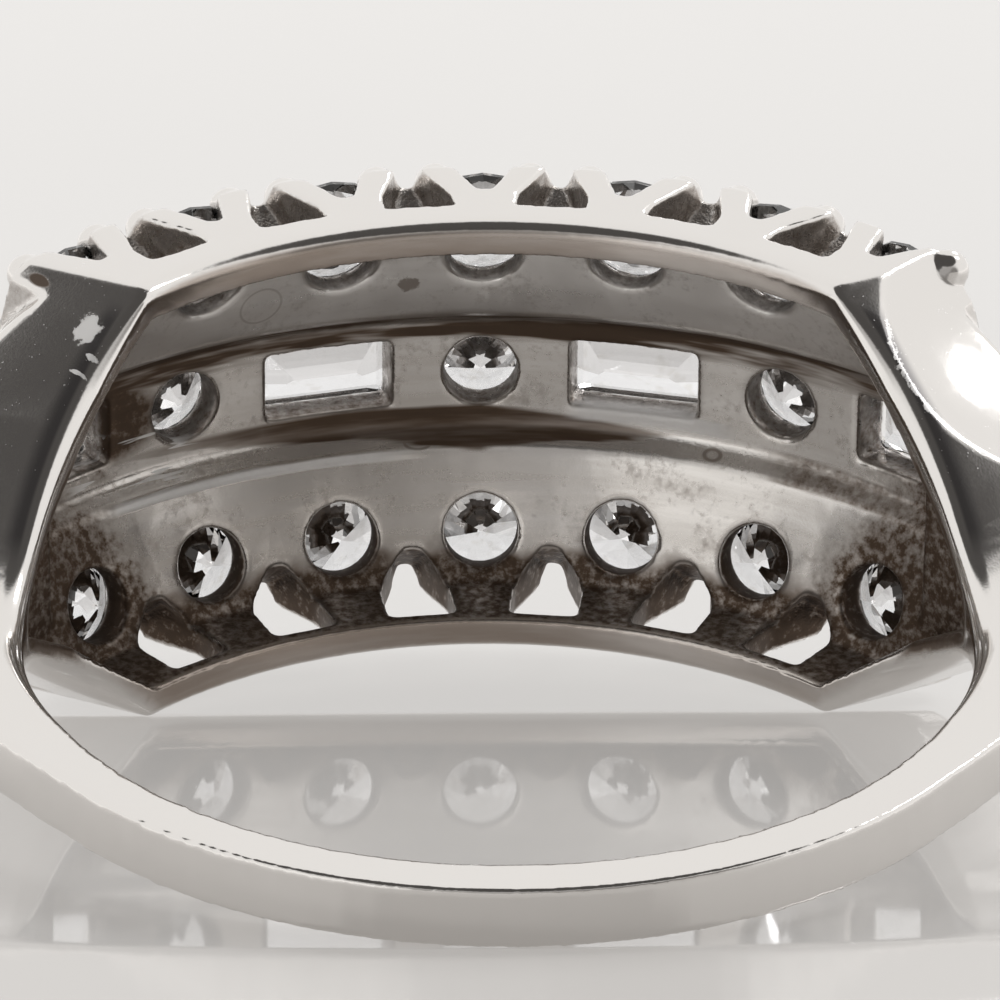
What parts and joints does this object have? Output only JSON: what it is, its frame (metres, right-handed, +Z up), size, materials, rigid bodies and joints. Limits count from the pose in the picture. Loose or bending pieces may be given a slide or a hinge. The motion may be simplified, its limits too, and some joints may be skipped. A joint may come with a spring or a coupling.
{
  "type": "diamond band ring",
  "caption": "Wide ring lying on its side: a slim shank widens into a domed, hollowed head, open at the back of each stone, with fishtail collets along both edges and a raised channel between.",
  "frame": {"origin": "centre of the finger hole, halfway along its axis", "axes": "+Z up; the ring lies on its side, with the head towards +Y and raised, the shank towards -Y and the finger hole's axis leaning 14.2 degrees back from +Z towards -Y"},
  "size_m": [0.0218, 0.0219, 0.0099],
  "materials": {
    "metal": "polished platinum",
    "diamond": "cut and polished colourless diamond"
  },
  "bodies": {
    "root": {"band": "metal", "round_upper_1": "diamond", "round_upper_2": "diamond", "round_upper_3": "diamond", "round_upper_4": "diamond", "round_upper_5": "diamond", "round_upper_6": "diamond", "round_upper_7": "diamond", "round_lower_1": "diamond", "round_lower_2": "diamond", "round_lower_3": "diamond", "round_lower_4": "diamond", "round_lower_5": "diamond", "round_lower_6": "diamond", "round_lower_7": "diamond", "round_middle_1": "diamond", "round_middle_2": "diamond", "round_middle_3": "diamond", "baguette_1": "diamond", "baguette_2": "diamond", "baguette_3": "diamond", "baguette_4": "diamond"}
  },
  "joints": []
}
